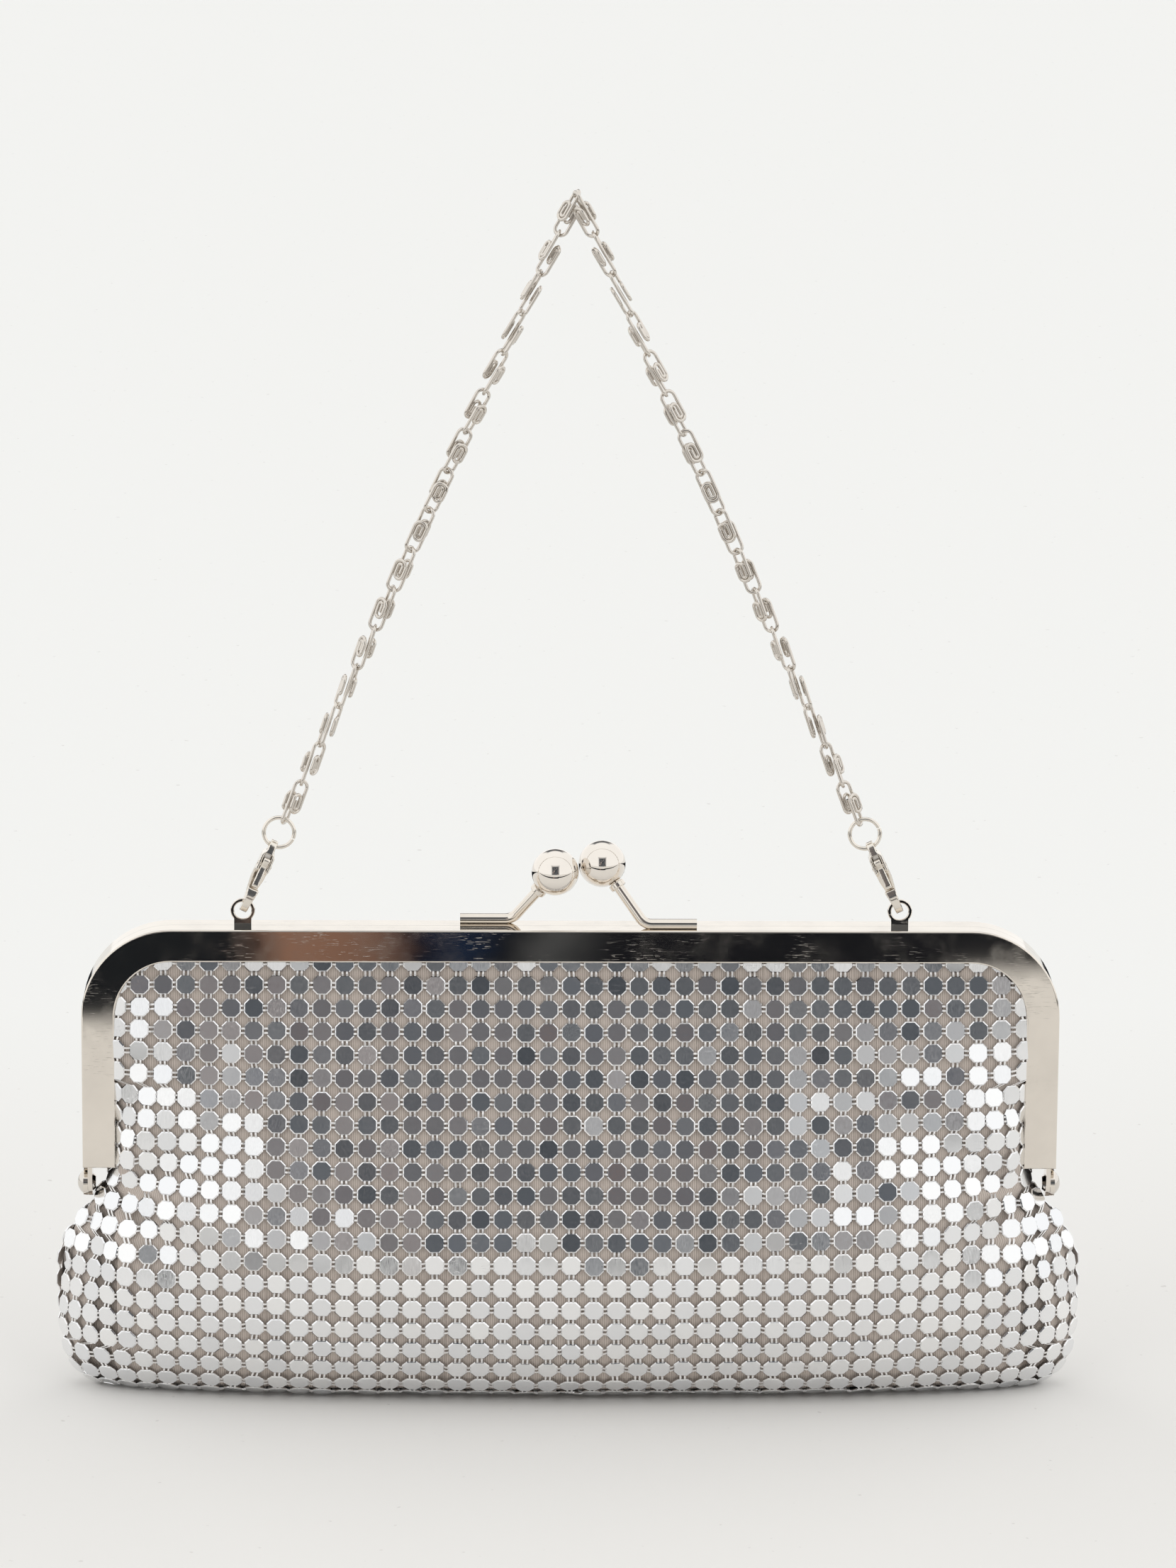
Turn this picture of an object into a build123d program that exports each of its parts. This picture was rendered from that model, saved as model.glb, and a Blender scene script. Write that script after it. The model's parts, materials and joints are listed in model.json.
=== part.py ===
"""Metal mesh evening bag: hinged kiss-lock frame, mesh pouch with lining, and a scroll-link chain strap.

Millimetres. +Z is up, the front faces -Y, and the origin is the middle of the flat base.
"""

import os
from math import asin, cos, radians, sin, sqrt

from build123d import *

# --- frame halves -----------------------------------------------------------------------------
FRAME_WIDTH = 240.0
FRAME_TOP = 117.3  # height of the frame's top face
BAND = 8.1  # how tall the top bar is, and how wide each leg is
HALF_DEPTH = 5.5  # front to back, each half
SPLIT_GAP = 0.06  # between the closed halves
OUTER_CORNER = 22.0
LEG_END = 57.0  # height of the legs' lower ends
WALL = 0.9  # sheet thickness of the channel's two side walls
WEB = 1.0  # thickness of the channel's outer rim
LIP_ROUND = 0.4  # rounding of the channel's long edges

# --- packing cords ----------------------------------------------------------------------------
CORD_NEAR = 1.15  # from the split to a cord
CORD_DEPTH = 1.4
CHANNEL_OPEN = 1.0  # the channel is cut this far past the band's inner edge
CHANNEL_FOOT = 1.2  # thickness of the web that closes a leg's foot
CORD_FOOT = 2.5  # how far above the foot a cord ends
CORD_RIM = 1.6  # from the frame's outer edge to a cord's two edges
CORD_INSIDE = 6.6

# --- hinge ------------------------------------------------------------------------------------
HINGE_Z = 52.0
EAR_THICK = 1.1
EAR_RADIUS = 3.3
EAR_NECK = 3.6
EAR_NECK_RISE = 1.0  # how far a neck reaches up into its leg
EAR_NECK_MIDDLE = 2.4  # from the split to the middle of an ear's neck
EAR_GAP = 0.06
RIVET_RADIUS = 1.2
RIVET_CLEARANCE = 0.04
RIVET_HEAD_SEAT = 0.02  # gap under the outer head
RIVET_TAIL_SEAT = 0.04  # gap under the peened tail
RIVET_TAIL_HEIGHT = 0.7
RIVET_TAIL_RADIUS = 2.2
RIVET_TAIL_END_RADIUS = 1.6
RIVET_HEAD_RADIUS = 2.9
RIVET_HEAD_HEIGHT = 1.5

# --- kiss lock --------------------------------------------------------------------------------
BALL_RADIUS = 5.75
BALL_HEIGHT = 14.0  # of the back half's ball centre, above the frame
BALL_STEP = 1.2  # how much higher the front half's ball stands
BACK_BALL_X = -4.1
FRONT_BALL_X = 7.45
BALL_Y = 2.0  # each ball leans this far past the split, over the other half
ROD_RADIUS = 1.3
ROD_SEAT = 0.2  # how much of the rod's underside is filed flat
FOOT_OUTER = 23.2  # from a ball's centre line to its arm's cut end
FOOT_INNER = 10.4  # from a ball's centre line to the arm's bend
ROD_BEND = 3.5
SOCKET_DEPTH = 2.5
COLLAR_RADIUS = 2.0
COLLAR_LENGTH = 1.5

# --- eyelets ----------------------------------------------------------------------------------
EYELET_X = 80.5
EYELET_RISE = 4.1  # hole centre above the frame
EYELET_HOLE = 2.1
EYELET_RADIUS = 3.0
EYELET_THICK = 0.9
EYELET_Y = -1.2
EYELET_NECK = 4.2
EYELET_NECK_HEIGHT = 2.4
EYELET_ROUND = 0.2  # radius on the edges of the eye

# --- lobster clasps: local x is the front, local y runs up the strap ---------------------------
CLASP_THICK = 3.4
HOOK_THICK = 1.8
HOOK_WIRE = 1.9
BAR_GAP = 0.82  # from the middle of the eyelet's bar to the hook's inner face
CLASP_BELLY = 4.6
EYE_RADIUS = 1.9
EYE_HOLE = 1.0
EYE_PLAY = 0.12  # between the eye and the jump ring's wire
EYE_UP = 17.5
MOUTH_LOW = 6.9
MOUTH_HIGH = 11.6
MOUTH_DEPTH = 4.4
MOUTH_MIDDLE = 3.5  # how far forward of the claw's middle line
HOOK_START_X = 0.2  # the hook's inner edge: middles of its low and high ends
HOOK_END = (0.4, 9.5)
HOOK_END_RADIUS = 1.5
HOOK_TOP = 3.2  # up to here the claw is as thin as its hook
CHEEK_LOW = 8.5  # between these it has its full thickness
CHEEK_HIGH = 15.4
EYE_LOW = 16.6  # from here up it is thin again, for the eye
CLASP_TOP = 21.0  # past every edge of the claw
CLASP_REACH = 8.0  # half the claw's depth, past every edge
SLOT_MIDDLE = (2.8, 13.2)
SLOT_DEPTH = 6.4
SLOT_HEIGHT = 5.4
SLOT_WIDTH = 1.9
GATE_THICK = 1.6
PIVOT = (1.9, 13.0)
GATE_BOSS = 1.2  # radius about the pivot
GATE_NOSE = ((3.55, 8.0), 0.75)  # middle and radius of the gate's closing end
GATE_TAB = ((3.7, 14.6), 0.65)  # and of its thumb tab
PIVOT_PIN = 0.5
PIVOT_CLEARANCE = 0.03
PIN_PROUD = 0.15  # how far the pin's ends stand out of the cheeks
SPRING_MIDDLE = (-0.25, 13.4)
SPRING_THICK = 0.25
SPRING_LENGTH = 4.2
SPRING_WIDTH = 1.4

# --- jump rings and chain ----------------------------------------------------------------------
RING_RADIUS = 3.7  # to the middle of the wire
RING_WIRE = 0.5
RING_PLAY = 0.22  # between the jump ring's wire and the first link's
WIRE = 0.425  # radius of the chain wire
LINK_PITCH = 10.6
HOOK_GAP = 0.98  # between the middles of two hooked wires
LINKS = 16  # on each side
RAIL = 1.5  # half the distance between a link's long sides
SCROLL_OUT = 1.3  # from a link's rail to the middle of each scroll
SCROLL_HALF = 2.27  # half the scroll's length, to the middle of the wire
TURN_STEP = 0.9  # from one turn of the scroll to the next
WIRE_END_SHORT = 0.3  # how far the wire stops short of the inner turn's end
LEFT_TWIST = 45.0  # of the first link about the strap's line
RIGHT_TWIST = 225.0
TWIST_STEP = 17.6  # each link turns on from the one below, as the hooked loops let it
TOP_CROSSING = 1.1  # how far each top loop reaches past the strap's peak
TOP_SHIFT = 1.0  # each side leans this far, one forward and one back, to hook at the peak

# --- pouch ------------------------------------------------------------------------------------
MESH_THICK = 0.7
LINING_GAP = 0.5
LINING_THICK = 0.4
# Each level of the pouch: height, width and depth of its rounded outline.
POUCH = (
    (0.0, 226.0, 22.0),
    (2.5, 240.0, 31.0),
    (7.0, 248.0, 39.0),
    (14.0, 251.8, 46.0),
    (24.5, 252.0, 52.0),
    (35.0, 250.0, 54.0),
    (43.5, 245.0, 52.0),
    (47.7, 232.0, 49.5),
    (55.0, 222.6, 45.0),
    (72.0, 222.6, 33.0),
    (87.5, 222.6, 22.0),
    (94.6, 222.6, 17.0),
    (99.8, 220.8, 13.4),
    (103.8, 216.0, 10.6),
    (107.2, 208.0, 8.6),
    (115.2, 195.0, 8.6),
)
MOUTH_Z = 107.3  # above this the pouch is two separate sheets, front and back
MOUTH_HALF = 2.65
MOUTH_TALL = 20.0  # past the pouch's top
END_FLAT = 0.1  # what is left straight at the end of each outline

STRAP_LOW = EYELET_HOLE + (EYELET_RADIUS - EYELET_HOLE) / 2  # hole centre to the eyelet's bar
HOOK_START = STRAP_LOW - BAR_GAP - HOOK_WIRE
RING_AT = HOOK_START + EYE_UP + EYE_HOLE - RING_WIRE - EYE_PLAY + RING_RADIUS
CHAIN_START = RING_AT + RING_RADIUS - RING_WIRE - WIRE - RING_PLAY
LINK_LENGTH = LINK_PITCH + HOOK_GAP
PEAK_AT = CHAIN_START + LINK_PITCH * (LINKS - 1) + LINK_LENGTH - TOP_CROSSING
STRAP_ANGLE = asin(EYELET_X / PEAK_AT)
EYELET_Z = FRAME_TOP + EYELET_RISE


def finish(piece, name):
    """Names a finished piece and writes its file."""
    piece.part.label = name
    export_step(piece.part, f"parts/{name}.step")


# --- frame -------------------------------------------------------------------------------------


def arch(width, top, foot, corner):
    """A flat arch: a rectangle from foot to top with its two top corners rounded."""
    with BuildSketch() as shape:
        with Locations((0, (top + foot) / 2)):
            Rectangle(width, top - foot)
        fillet(shape.vertices().group_by(Axis.Y)[-1], corner)
    return shape.sketch


def band_outline(rim, inside, foot):
    """The U between the insets rim and inside from the frame's outer edge, down to the height foot."""
    with BuildSketch() as band:
        add(arch(FRAME_WIDTH - 2 * rim, FRAME_TOP - rim, foot, OUTER_CORNER - rim))
        add(
            arch(FRAME_WIDTH - 2 * inside, FRAME_TOP - inside, foot - 2, OUTER_CORNER - inside),
            mode=Mode.SUBTRACT,
        )
    return band.sketch


def ear_profile(back):
    """One hinge ear, seen along the axis: a round end, and a neck that rises into its own leg."""
    sign = 1 if back else -1
    neck_top = LEG_END + EAR_NECK_RISE
    with BuildSketch() as ear:
        with Locations((0, HINGE_Z)):
            Circle(EAR_RADIUS)
        with Locations((sign * EAR_NECK_MIDDLE, (HINGE_Z + neck_top) / 2)):
            Rectangle(EAR_NECK, neck_top - HINGE_Z)
        with Locations((0, HINGE_Z)):
            Circle(RIVET_RADIUS + RIVET_CLEARANCE, mode=Mode.SUBTRACT)
    return ear.sketch


def frame_half(back):
    """A frame half: a channel open towards the pouch, with two hinge ears."""
    near = SPLIT_GAP / 2 if back else -SPLIT_GAP / 2 - HALF_DEPTH
    far = near + HALF_DEPTH
    outer_ear = FRAME_WIDTH / 2 - EAR_THICK
    inner_ear = outer_ear - EAR_GAP - EAR_THICK
    ear_x = outer_ear if back else inner_ear
    face = Plane.XZ.offset(-far)
    slot_face = Plane.XZ.offset(-(far - WALL))
    with BuildPart() as half:
        with BuildSketch(face):
            add(band_outline(0, BAND, LEG_END))
        extrude(amount=HALF_DEPTH)
        shown_face = half.faces().sort_by(Axis.Y)[-1 if back else 0]
        fillet(shown_face.edges(), LIP_ROUND)
        with BuildSketch(slot_face):
            add(band_outline(WEB, BAND + CHANNEL_OPEN, LEG_END + CHANNEL_FOOT))
        extrude(amount=HALF_DEPTH - 2 * WALL, mode=Mode.SUBTRACT)
        for start in (ear_x, -ear_x - EAR_THICK):
            with BuildSketch(Plane.YZ.offset(start)):
                add(ear_profile(back))
            extrude(amount=EAR_THICK)
    return half


def packing_cord(back):
    """The cord that wedges the pouch's edges into a channel."""
    plane = Plane.XZ.offset(-(CORD_NEAR + CORD_DEPTH) if back else CORD_NEAR)
    with BuildPart() as cord:
        with BuildSketch(plane):
            add(band_outline(CORD_RIM, CORD_INSIDE, LEG_END + CORD_FOOT))
        extrude(amount=CORD_DEPTH)
    return cord


def hinge_rivet(side):
    """A rivet through both ears, with a domed head outside and a small one inside."""
    head_x = FRAME_WIDTH / 2 + RIVET_HEAD_SEAT
    tail_x = FRAME_WIDTH / 2 - 2 * EAR_THICK - EAR_GAP - RIVET_TAIL_SEAT
    end_x = tail_x - RIVET_TAIL_HEIGHT
    dome = (RIVET_HEAD_RADIUS**2 + RIVET_HEAD_HEIGHT**2) / (2 * RIVET_HEAD_HEIGHT)
    with BuildPart() as rivet:
        with BuildSketch(Plane.XY.offset(HINGE_Z)):
            with BuildLine():
                Line((side * end_x, 0), (side * (head_x + RIVET_HEAD_HEIGHT), 0))
                RadiusArc(
                    (side * (head_x + RIVET_HEAD_HEIGHT), 0),
                    (side * head_x, RIVET_HEAD_RADIUS),
                    side * -dome,
                )
                Line((side * head_x, RIVET_HEAD_RADIUS), (side * head_x, RIVET_RADIUS))
                Line((side * head_x, RIVET_RADIUS), (side * tail_x, RIVET_RADIUS))
                Line((side * tail_x, RIVET_RADIUS), (side * tail_x, RIVET_TAIL_RADIUS))
                Line((side * tail_x, RIVET_TAIL_RADIUS), (side * end_x, RIVET_TAIL_END_RADIUS))
                Line((side * end_x, RIVET_TAIL_END_RADIUS), (side * end_x, 0))
            make_face()
        revolve(axis=Axis((0, 0, HINGE_Z), (1, 0, 0)))
    return rivet


# --- kiss lock ---------------------------------------------------------------------------------


def lock_points(back):
    """The arm's cut end, its bend and its ball's centre."""
    side = -1 if back else 1
    ball_x = BACK_BALL_X if back else FRONT_BALL_X
    ball_y = -BALL_Y if back else BALL_Y
    ball_z = FRAME_TOP + BALL_HEIGHT + (0 if back else BALL_STEP)
    foot_y = -side * HALF_DEPTH / 2
    foot_z = FRAME_TOP + ROD_RADIUS - ROD_SEAT
    end = Vector(ball_x + side * FOOT_OUTER, foot_y, foot_z)
    bend = Vector(ball_x + side * FOOT_INNER, foot_y, foot_z)
    return end, bend, Vector(ball_x, ball_y, ball_z)


def clasp_arm(back):
    """A round rod that lies on the frame's top, then rises to its ball."""
    end, bend, ball = lock_points(back)
    up = (ball - bend).normalized()
    tip = ball - up * (BALL_RADIUS - SOCKET_DEPTH)
    with BuildPart() as arm:
        with BuildLine() as path:
            FilletPolyline(end, bend, tip, radius=ROD_BEND)
        with BuildSketch(Plane(origin=end, z_dir=bend - end)):
            Circle(ROD_RADIUS)
        sweep()
        with Locations((bend.X, bend.Y, FRAME_TOP - 5)):
            Box(60, 20, 10, mode=Mode.SUBTRACT)
    return arm


def clasp_ball(back):
    """A ball with a socket for its arm."""
    end, bend, ball = lock_points(back)
    up = (ball - bend).normalized()
    with BuildPart() as sphere:
        with Locations(ball):
            Sphere(BALL_RADIUS)
        with BuildSketch(Plane(origin=ball - up * (BALL_RADIUS + 1), z_dir=up)):
            Circle(ROD_RADIUS)
        extrude(amount=1 + SOCKET_DEPTH, mode=Mode.SUBTRACT)
    return sphere


def clasp_collar(back):
    """A ring on the arm, close under the ball."""
    end, bend, ball = lock_points(back)
    up = (ball - bend).normalized()
    with BuildPart() as collar:
        with BuildSketch(Plane(origin=ball - up * (BALL_RADIUS + COLLAR_LENGTH + 0.05), z_dir=up)):
            Circle(COLLAR_RADIUS)
            Circle(ROD_RADIUS, mode=Mode.SUBTRACT)
        extrude(amount=COLLAR_LENGTH)
        fillet(collar.edges().filter_by(GeomType.CIRCLE).group_by(SortBy.RADIUS)[-1], 0.3)
    return collar


# --- strap -------------------------------------------------------------------------------------


def strap_plane(side, distance, twist=0.0, tilt=0.0):
    """A plane on the strap's line: x across it, y up along it, z to the front.

    side is -1 on the left; twist turns it about the strap's line and tilt leans it about its own x.
    """
    lean = -side * TOP_SHIFT / PEAK_AT
    up = Vector(-side * sin(STRAP_ANGLE), lean, cos(STRAP_ANGLE)).normalized()
    across = Vector(cos(STRAP_ANGLE), 0, side * sin(STRAP_ANGLE))
    front = across.cross(up)
    turned_front = front * cos(twist) + across * sin(twist)
    turned_across = across * cos(twist) - front * sin(twist)
    leaned_front = turned_front * cos(tilt) + up * sin(tilt)
    origin = Vector(side * EYELET_X, EYELET_Y, EYELET_Z) + up * distance
    return Plane(origin=origin, x_dir=turned_across, z_dir=leaned_front)


def clasp_plane(side):
    """The flat plane of a clasp: x to the front, y up along the strap."""
    base = strap_plane(side, HOOK_START)
    return Plane(origin=base.origin, x_dir=base.z_dir, z_dir=-base.x_dir)


def taper(start, start_radius, end, end_radius):
    """The outline of two discs and the two lines that wrap them."""
    with BuildSketch() as outline:
        with Locations(start):
            Circle(start_radius)
        with Locations(end):
            Circle(end_radius)
        make_hull()
    return outline.sketch


def eyelet(side):
    """A flat stamped tab with a round eye, brazed on the front half's top."""
    with BuildPart() as tab:
        with BuildSketch(Plane.XZ.offset(-(EYELET_Y + EYELET_THICK / 2))):
            with Locations((side * EYELET_X, EYELET_Z)):
                Circle(EYELET_RADIUS)
            with Locations((side * EYELET_X, FRAME_TOP + EYELET_NECK_HEIGHT / 2)):
                Rectangle(EYELET_NECK, EYELET_NECK_HEIGHT)
            with Locations((side * EYELET_X, EYELET_Z)):
                Circle(EYELET_HOLE, mode=Mode.SUBTRACT)
        extrude(amount=EYELET_THICK)
        fillet(tab.edges().filter_by(GeomType.CIRCLE), EYELET_ROUND)
    return tab


def clasp_body(side):
    """A claw with an eye at its top, a mouth at its front and a slot for its gate."""
    plane = clasp_plane(side)
    edge_on = Plane(origin=plane.origin, x_dir=-plane.z_dir, z_dir=plane.x_dir)
    with BuildPart() as body:
        with BuildSketch(plane.offset(-CLASP_THICK / 2)):
            add(taper((0, CLASP_BELLY), CLASP_BELLY, (0, EYE_UP), EYE_RADIUS))
            add(
                taper((HOOK_START_X, CLASP_BELLY), CLASP_BELLY - HOOK_WIRE, HOOK_END, HOOK_END_RADIUS),
                mode=Mode.SUBTRACT,
            )
            with Locations((MOUTH_MIDDLE, (MOUTH_LOW + MOUTH_HIGH) / 2)):
                Rectangle(MOUTH_DEPTH, MOUTH_HIGH - MOUTH_LOW, mode=Mode.SUBTRACT)
            with Locations((0, EYE_UP)):
                Circle(EYE_HOLE, mode=Mode.SUBTRACT)
        extrude(amount=CLASP_THICK)
        for face in (-1, 1):
            # The claw thins down to the hook that passes through the eyelet, and up to its eye.
            with BuildSketch(edge_on.offset(-CLASP_REACH)):
                with BuildLine():
                    Polyline(
                        (face * HOOK_THICK / 2, -1),
                        (face * HOOK_THICK / 2, HOOK_TOP),
                        (face * CLASP_THICK / 2, CHEEK_LOW),
                        (face * CLASP_THICK / 2, CHEEK_HIGH),
                        (face * HOOK_THICK / 2, EYE_LOW),
                        (face * HOOK_THICK / 2, CLASP_TOP),
                        (face * CLASP_THICK, CLASP_TOP),
                        (face * CLASP_THICK, -1),
                        close=True,
                    )
                make_face()
            extrude(amount=2 * CLASP_REACH, mode=Mode.SUBTRACT)
        with BuildSketch(plane.offset(-SLOT_WIDTH / 2)):
            with Locations(SLOT_MIDDLE):
                Rectangle(SLOT_DEPTH, SLOT_HEIGHT)
        extrude(amount=SLOT_WIDTH, mode=Mode.SUBTRACT)
        with BuildSketch(plane.offset(-CLASP_THICK)):
            with Locations(PIVOT):
                Circle(PIVOT_PIN)
        extrude(amount=2 * CLASP_THICK, mode=Mode.SUBTRACT)
    return body


def clasp_gate(side):
    """The lever that closes a clasp's mouth, with its thumb tab."""
    plane = clasp_plane(side)
    with BuildPart() as gate:
        for end, radius in (GATE_NOSE, GATE_TAB):
            with BuildSketch(plane.offset(-GATE_THICK / 2)):
                add(taper(PIVOT, GATE_BOSS, end, radius))
            extrude(amount=GATE_THICK)
        with BuildSketch(plane.offset(-GATE_THICK)):
            with Locations(PIVOT):
                Circle(PIVOT_PIN + PIVOT_CLEARANCE)
        extrude(amount=2 * GATE_THICK, mode=Mode.SUBTRACT)
    return gate


def clasp_pin(side):
    """The pin that the gate turns on, its ends just proud of the cheeks."""
    with BuildPart() as pin:
        with BuildSketch(clasp_plane(side).offset(-CLASP_THICK / 2 - PIN_PROUD)):
            with Locations(PIVOT):
                Circle(PIVOT_PIN)
        extrude(amount=CLASP_THICK + 2 * PIN_PROUD)
    return pin


def clasp_spring(side):
    """The leaf that pushes the gate shut, lying on the floor of the slot."""
    with BuildPart() as spring:
        with BuildSketch(clasp_plane(side).offset(-SPRING_WIDTH / 2)):
            with Locations(SPRING_MIDDLE):
                Rectangle(SPRING_THICK, SPRING_LENGTH)
        extrude(amount=SPRING_WIDTH)
    return spring


def jump_ring(side):
    """A split ring of round wire that joins a clasp to the chain."""
    plane = strap_plane(side, RING_AT)
    with BuildPart() as ring:
        with BuildLine(plane) as path:
            CenterArc((0, 0), RING_RADIUS, 2, 356)
        with BuildSketch(Plane(origin=path.line @ 0, z_dir=path.line % 0)):
            Circle(RING_WIRE)
        sweep()
    return ring


def link_path(plane):
    """The wire of one scroll link, from the end of one scroll to the end of the other.

    A scroll winds in 1.5 turns in the plane z = SCROLL_OUT. Its outer side runs up to the top loop,
    which crosses to the rail at x = -RAIL, z = 0. The lower half is the upper half turned over about x.
    """
    chord = sqrt((2 * RAIL) ** 2 + SCROLL_OUT**2)
    loop = chord / 2
    rise = sqrt((LINK_LENGTH / 2) ** 2 - (SCROLL_OUT / 2) ** 2) - loop
    inner = RAIL - TURN_STEP
    upper_turn = (RAIL + inner) / 2
    low = -(SCROLL_HALF - RAIL)
    high = SCROLL_HALF - upper_turn
    depth = SCROLL_OUT
    half = (
        ("line", (-inner, high - WIRE_END_SHORT), (-inner, low)),
        ("arc", (-inner, low), (0, low - inner), (inner, low)),
        ("line", (inner, low), (inner, high)),
        ("arc", (inner, high), (inner - upper_turn, high + upper_turn), (-RAIL, high)),
        ("line", (-RAIL, high), (-RAIL, low)),
        ("arc", (-RAIL, low), (0, low - RAIL), (RAIL, low)),
        ("line", (RAIL, low), (RAIL, rise)),
    )
    with BuildLine(plane) as path:
        for turn in (1, -1):
            for kind, *points in half:
                placed = [(x, turn * y, turn * depth) for x, y in points]
                if kind == "line":
                    Line(*placed)
                else:
                    ThreePointArc(*placed)
            ThreePointArc(
                (RAIL, turn * rise, turn * depth),
                (0, turn * (rise + loop), turn * depth / 2),
                (-RAIL, turn * rise, 0),
            )
        Line((-RAIL, rise, 0), (-RAIL, -rise, 0))
    return path


def scroll_link(side, number):
    """One link of the chain, number 1 being the one in the jump ring."""
    first = LEFT_TWIST if side < 0 else RIGHT_TWIST
    twist = radians(first + TWIST_STEP * (number - 1))
    middle = CHAIN_START + LINK_PITCH * (number - 1) + LINK_LENGTH / 2
    tilt = asin(SCROLL_OUT / LINK_LENGTH)
    plane = strap_plane(side, middle, twist, tilt)
    with BuildPart() as link:
        path = link_path(plane)
        wire = path.wire()
        with BuildSketch(Plane(origin=wire @ 0, z_dir=wire % 0)):
            Circle(WIRE)
        sweep(path=wire)
    return link


# --- pouch -------------------------------------------------------------------------------------


def pouch_shell(inset, thick):
    """A closed-bottomed shell that follows the pouch's levels, open at the top."""
    with BuildPart() as shell:
        for skin, mode in ((inset, Mode.ADD), (inset + thick, Mode.SUBTRACT)):
            base, top = POUCH[0][0] + skin, POUCH[-1][0]
            for z, width, depth in POUCH:
                level = max(z, base) if z < top else top + (skin > inset)
                short = depth - 2 * skin
                with BuildSketch(Plane.XY.offset(level)):
                    RectangleRounded(width - 2 * skin, short, short / 2 - END_FLAT / 2)
            loft(ruled=True, mode=mode)
        with Locations((0, 0, MOUTH_Z)):
            Box(
                FRAME_WIDTH,
                2 * MOUTH_HALF,
                MOUTH_TALL,
                align=(Align.CENTER, Align.CENTER, Align.MIN),
                mode=Mode.SUBTRACT,
            )
    return shell


# --- all pieces --------------------------------------------------------------------------------

os.makedirs("parts", exist_ok=True)

for half_name, is_back in (("back", True), ("front", False)):
    finish(frame_half(is_back), f"{half_name}_frame")
    finish(packing_cord(is_back), f"{half_name}_packing_cord")
    finish(clasp_arm(is_back), f"{half_name}_clasp_arm")
    finish(clasp_ball(is_back), f"{half_name}_clasp_ball")
    finish(clasp_collar(is_back), f"{half_name}_clasp_collar")

for side_name, side_sign in (("left", -1), ("right", 1)):
    finish(hinge_rivet(side_sign), f"{side_name}_hinge_rivet")
    finish(eyelet(side_sign), f"{side_name}_eyelet")
    finish(clasp_body(side_sign), f"{side_name}_clasp_body")
    finish(clasp_gate(side_sign), f"{side_name}_clasp_gate")
    finish(clasp_pin(side_sign), f"{side_name}_clasp_pin")
    finish(clasp_spring(side_sign), f"{side_name}_clasp_spring")
    finish(jump_ring(side_sign), f"{side_name}_jump_ring")
    for link_number in range(1, LINKS + 1):
        finish(scroll_link(side_sign, link_number), f"{side_name}_chain_link_{link_number:02d}")

finish(pouch_shell(0, MESH_THICK), "mesh_bag")
finish(pouch_shell(MESH_THICK + LINING_GAP, LINING_THICK), "lining")
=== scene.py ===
import json
import math

import bpy
import numpy as np
from mathutils import Matrix, Vector


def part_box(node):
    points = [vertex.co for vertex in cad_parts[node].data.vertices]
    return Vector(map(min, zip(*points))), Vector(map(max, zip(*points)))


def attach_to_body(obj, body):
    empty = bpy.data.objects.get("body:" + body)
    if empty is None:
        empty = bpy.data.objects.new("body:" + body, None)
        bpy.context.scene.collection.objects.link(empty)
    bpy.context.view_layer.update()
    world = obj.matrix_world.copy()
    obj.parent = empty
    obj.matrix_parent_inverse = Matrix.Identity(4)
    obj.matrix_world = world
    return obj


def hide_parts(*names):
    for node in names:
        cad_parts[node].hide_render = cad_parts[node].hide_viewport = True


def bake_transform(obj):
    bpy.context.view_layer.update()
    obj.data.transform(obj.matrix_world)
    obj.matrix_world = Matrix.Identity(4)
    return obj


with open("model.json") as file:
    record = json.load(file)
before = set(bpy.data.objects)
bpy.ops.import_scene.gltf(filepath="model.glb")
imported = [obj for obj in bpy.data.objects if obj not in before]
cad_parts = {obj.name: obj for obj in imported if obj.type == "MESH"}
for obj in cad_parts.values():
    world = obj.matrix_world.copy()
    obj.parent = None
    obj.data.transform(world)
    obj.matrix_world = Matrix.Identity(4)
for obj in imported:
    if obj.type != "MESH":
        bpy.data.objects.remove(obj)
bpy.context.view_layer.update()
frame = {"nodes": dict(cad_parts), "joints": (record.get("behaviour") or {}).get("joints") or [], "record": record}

MM = 0.001
rng = np.random.default_rng(7)

# --- camera -----------------------------------------------------------------------------------

SENSOR = 36.0  # mm
CAMERA_DISTANCE = 1.6
CAMERA_ELEVATION = math.radians(12.5)
CAMERA_AZIMUTH = math.radians(-1.358)
CAMERA_ROLL = math.radians(0.434)
CAMERA_AIM = Vector((0.0038, 0.0, 0.1529))
VIEW_HEIGHT = 0.3828  # how much of the upright plane through the aim the picture shows


def make_camera():
    """A long lens, looking down a little at the bag's front."""
    data = bpy.data.cameras.new("camera")
    data.sensor_fit = "VERTICAL"
    data.sensor_height = SENSOR
    data.sensor_width = SENSOR
    data.lens = SENSOR * CAMERA_DISTANCE / VIEW_HEIGHT
    data.clip_start = 0.05
    data.clip_end = 50
    camera = bpy.data.objects.new("camera", data)
    bpy.context.scene.collection.objects.link(camera)
    flat = math.cos(CAMERA_ELEVATION)
    back = Vector(
        (
            math.sin(CAMERA_AZIMUTH) * flat,
            -math.cos(CAMERA_AZIMUTH) * flat,
            math.sin(CAMERA_ELEVATION),
        )
    )
    right = (-back).cross(Vector((0, 0, 1))).normalized()
    up = right.cross(-back)
    rolled_right = right * math.cos(CAMERA_ROLL) + up * math.sin(CAMERA_ROLL)
    rolled_up = up * math.cos(CAMERA_ROLL) - right * math.sin(CAMERA_ROLL)
    turn = Matrix((rolled_right, rolled_up, back)).transposed().to_4x4()
    camera.matrix_world = Matrix.Translation(CAMERA_AIM + back * CAMERA_DISTANCE) @ turn
    bpy.context.scene.camera = camera


make_camera()

# --- materials --------------------------------------------------------------------------------


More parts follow.
